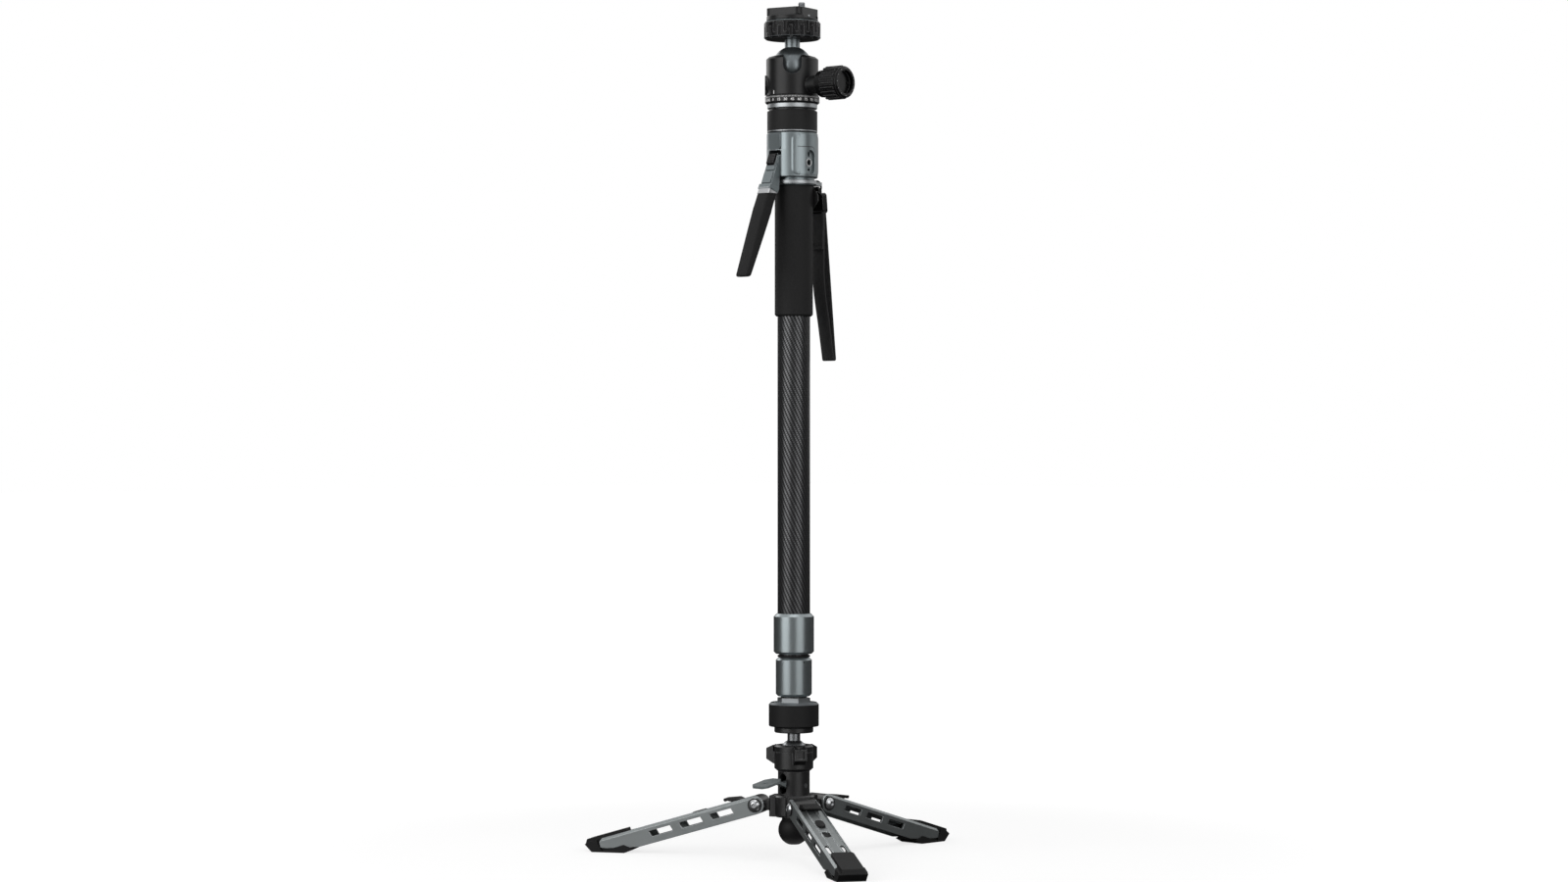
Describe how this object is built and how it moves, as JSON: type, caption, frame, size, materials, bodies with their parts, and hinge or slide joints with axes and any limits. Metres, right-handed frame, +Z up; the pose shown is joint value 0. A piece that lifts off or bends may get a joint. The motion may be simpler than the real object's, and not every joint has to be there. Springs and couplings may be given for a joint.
{
  "type": "camera monopod",
  "caption": "Telescoping camera monopod with a folding leg base on a ball joint, a squeeze-lever grip, a wrist strap and a ball head with a quick-release plate.",
  "frame": {"origin": "centre of the flat sole of the rubber foot under the hub, on the tube axis", "axes": "+Z up along the tube; the squeeze lever and the foot pedal face -Y; the lock knob and the accessory hole face +X"},
  "size_m": [0.3566, 0.3088, 0.786],
  "materials": {
    "black_metal": "black anodised, satin",
    "grey_metal": "grey anodised, satin",
    "silver_metal": "bright turned",
    "ball_metal": "dark anodised, polished",
    "steel": "plain",
    "steel_black": "black",
    "rubber": "matt",
    "black_plastic": "satin",
    "carbon": "carbon fibre under clear coat",
    "nylon": "plain",
    "webbing": "woven nylon"
  },
  "bodies": {
    "base": {"hub": "black_metal", "leg_pivot_screws": "steel", "pivot_washers": "black_plastic", "centre_foot": "rubber", "column": "black_metal", "pedal_pin": "steel", "ball_housing": "black_metal", "ball_cap": "black_metal", "plunger_spring": "steel"},
    "pedal": {"pedal": "grey_metal"},
    "plunger": {"brake_plunger": "steel"},
    "seat": {"ball_seat": "nylon"},
    "base_ball": {"base_ball": "steel", "swivel_disc": "black_metal"},
    "mast": {"mast_foot": "grey_metal", "mast_nut": "silver_metal", "tube_3": "carbon", "clutch_lower": "nylon"},
    "lower_lock": {"lower_lock_ring": "rubber"},
    "section_2": {"tube_2": "carbon", "collar_2": "grey_metal", "clutch_upper": "nylon"},
    "section_1": {"tube_1": "carbon", "collar_1": "grey_metal", "grip": "rubber", "strap_ring": "silver_metal", "handle_block": "grey_metal", "label_panel": "grey_metal", "side_cover": "grey_metal", "lever_pin": "steel", "lever_spring": "steel", "head_mount": "grey_metal", "pan_base": "silver_metal", "pan_scale_ring": "black_metal"},
    "lever": {"lever_arm": "grey_metal", "lever_sleeve": "rubber"},
    "latch": {"lever_latch": "black_plastic"},
    "rod": {"release_rod": "steel"},
    "upper_lock": {"upper_lock_ring": "rubber"},
    "strap": {"strap_loop": "steel_black", "strap_slider": "black_plastic", "strap_webbing": "webbing"},
    "head": {"head_housing": "black_metal", "head_seat": "nylon"},
    "knob": {"lock_knob": "black_plastic"},
    "ball": {"head_ball": "ball_metal"},
    "platform": {"clamp_base": "black_metal"},
    "clamp": {"clamp_ring": "black_metal"},
    "plate": {"quick_plate": "black_metal"},
    "screw": {"camera_screw": "steel"},
    "leg_1": {"leg_1_channel": "grey_metal", "leg_1_boot": "rubber"},
    "tab_1": {"leg_1_tab": "black_plastic"},
    "leg_2": {"leg_2_channel": "grey_metal", "leg_2_boot": "rubber"},
    "tab_2": {"leg_2_tab": "black_plastic"},
    "leg_3": {"leg_3_channel": "grey_metal", "leg_3_boot": "rubber"},
    "tab_3": {"leg_3_tab": "black_plastic"}
  },
  "joints": [
    {"name": "leg_fold_1", "type": "hinge", "parent": "base", "child": "leg_1", "pos_m": [0, 0.034, 0.036], "axis": [-1, 0, 0], "range_deg": [-104, 0]},
    {"name": "leg_tab_1", "type": "hinge", "parent": "leg_1", "child": "tab_1", "pos_m": [0, 0.05062, 0.0358], "axis": [-1, 0, 0], "range_deg": [0, 7.5], "stiffness_Nm_per_rad": 0.06, "springref_deg": -17.19},
    {"name": "leg_fold_2", "type": "hinge", "parent": "base", "child": "leg_2", "pos_m": [-0.02944, -0.017, 0.036], "axis": [0.5, -0.866, 0], "range_deg": [-104, 0]},
    {"name": "leg_tab_2", "type": "hinge", "parent": "leg_2", "child": "tab_2", "pos_m": [-0.04384, -0.02531, 0.0358], "axis": [0.5, -0.866, 0], "range_deg": [0, 7.5], "stiffness_Nm_per_rad": 0.06, "springref_deg": -17.19},
    {"name": "leg_fold_3", "type": "hinge", "parent": "base", "child": "leg_3", "pos_m": [0.02944, -0.017, 0.036], "axis": [0.5, 0.866, 0], "range_deg": [-104, 0]},
    {"name": "leg_tab_3", "type": "hinge", "parent": "leg_3", "child": "tab_3", "pos_m": [0.04384, -0.02531, 0.0358], "axis": [0.5, 0.866, 0], "range_deg": [0, 7.5], "stiffness_Nm_per_rad": 0.06, "springref_deg": -17.19},
    {"name": "pedal_press", "type": "hinge", "parent": "base", "child": "pedal", "pos_m": [0, 0.001, 0.055], "axis": [1, 0, 0], "range_deg": [0, 10], "stiffness_Nm_per_rad": 0.4, "springref_deg": -17.19},
    {"name": "brake_lift", "type": "slide", "parent": "base", "child": "plunger", "axis": [0, 0, 1], "range_m": [0, 0.0011], "deforming": ["plunger_spring"]},
    {"name": "base_swing", "type": "hinge", "parent": "base", "child": "seat", "pos_m": [0, 0, 0.0841], "axis": [0, 0, 1], "continuous": true},
    {"name": "base_tilt", "type": "hinge", "parent": "seat", "child": "base_ball", "pos_m": [0, 0, 0.0841], "axis": [1, 0, 0], "range_deg": [0, 20]},
    {"name": "mast_pan", "type": "hinge", "parent": "base_ball", "child": "mast", "pos_m": [0, 0, 0.1083], "axis": [0, 0, 1], "continuous": true},
    {"name": "lower_lock_turn", "type": "hinge", "parent": "mast", "child": "lower_lock", "pos_m": [0, 0, 0.12], "axis": [0, 0, 1], "range_deg": [0, 60]},
    {"name": "section_2_extend", "type": "slide", "parent": "mast", "child": "section_2", "axis": [0, 0, 1], "range_m": [0, 0.33]},
    {"name": "section_1_extend", "type": "slide", "parent": "section_2", "child": "section_1", "axis": [0, 0, 1], "range_m": [0, 0.33]},
    {"name": "lever_squeeze", "type": "hinge", "parent": "section_1", "child": "lever", "pos_m": [0, -0.0215, 0.6283], "axis": [1, 0, 0], "range_deg": [0, 10], "stiffness_Nm_per_rad": 0.5, "springref_deg": -17.19},
    {"name": "rod_lift", "type": "slide", "parent": "section_1", "child": "rod", "axis": [0, 0, 1], "range_m": [0, 0.0043], "deforming": ["lever_spring"]},
    {"name": "latch_slide", "type": "slide", "parent": "lever", "child": "latch", "axis": [0, -0.3697, -0.9291], "range_m": [0, 0.004]},
    {"name": "upper_lock_turn", "type": "hinge", "parent": "section_1", "child": "upper_lock", "pos_m": [0, -0.002, 0.665], "axis": [0, 0, 1], "range_deg": [0, 60]},
    {"name": "strap_swing", "type": "hinge", "parent": "section_1", "child": "strap", "pos_m": [0, 0.0301, 0.609], "axis": [1, 0, 0], "range_deg": [0, 70]},
    {"name": "head_pan", "type": "hinge", "parent": "section_1", "child": "head", "pos_m": [0, -0.002, 0.6886], "axis": [0, 0, 1], "continuous": true},
    {"name": "knob_turn", "type": "hinge", "parent": "head", "child": "knob", "pos_m": [0.02989, 0.00061, 0.6978], "axis": [0.9962, 0.0872, 0], "continuous": true},
    {"name": "ball_tilt", "type": "hinge", "parent": "head", "child": "ball", "pos_m": [0, -0.002, 0.7166], "axis": [0.7071, 0.7071, 0], "range_deg": [-25, 50]},
    {"name": "platform_spin", "type": "hinge", "parent": "ball", "child": "platform", "pos_m": [0, -0.002, 0.7408], "axis": [0, 0, 1], "continuous": true},
    {"name": "clamp_turn", "type": "hinge", "parent": "platform", "child": "clamp", "pos_m": [0, -0.002, 0.749], "axis": [0, 0, 1], "range_deg": [0, 75]},
    {"name": "plate_slide", "type": "slide", "parent": "platform", "child": "plate", "axis": [0.969, 0.247, 0], "range_m": [0, 0.05]},
    {"name": "screw_turn", "type": "hinge", "parent": "plate", "child": "screw", "pos_m": [0.00969, 0.00047, 0.7688], "axis": [0, 0, 1], "continuous": true}
  ],
  "couplings": [
    {"joint": "brake_lift", "follows": "pedal_press", "m_per_rad": 0.0053},
    {"joint": "rod_lift", "follows": "lever_squeeze", "m_per_rad": 0.0241}
  ]
}
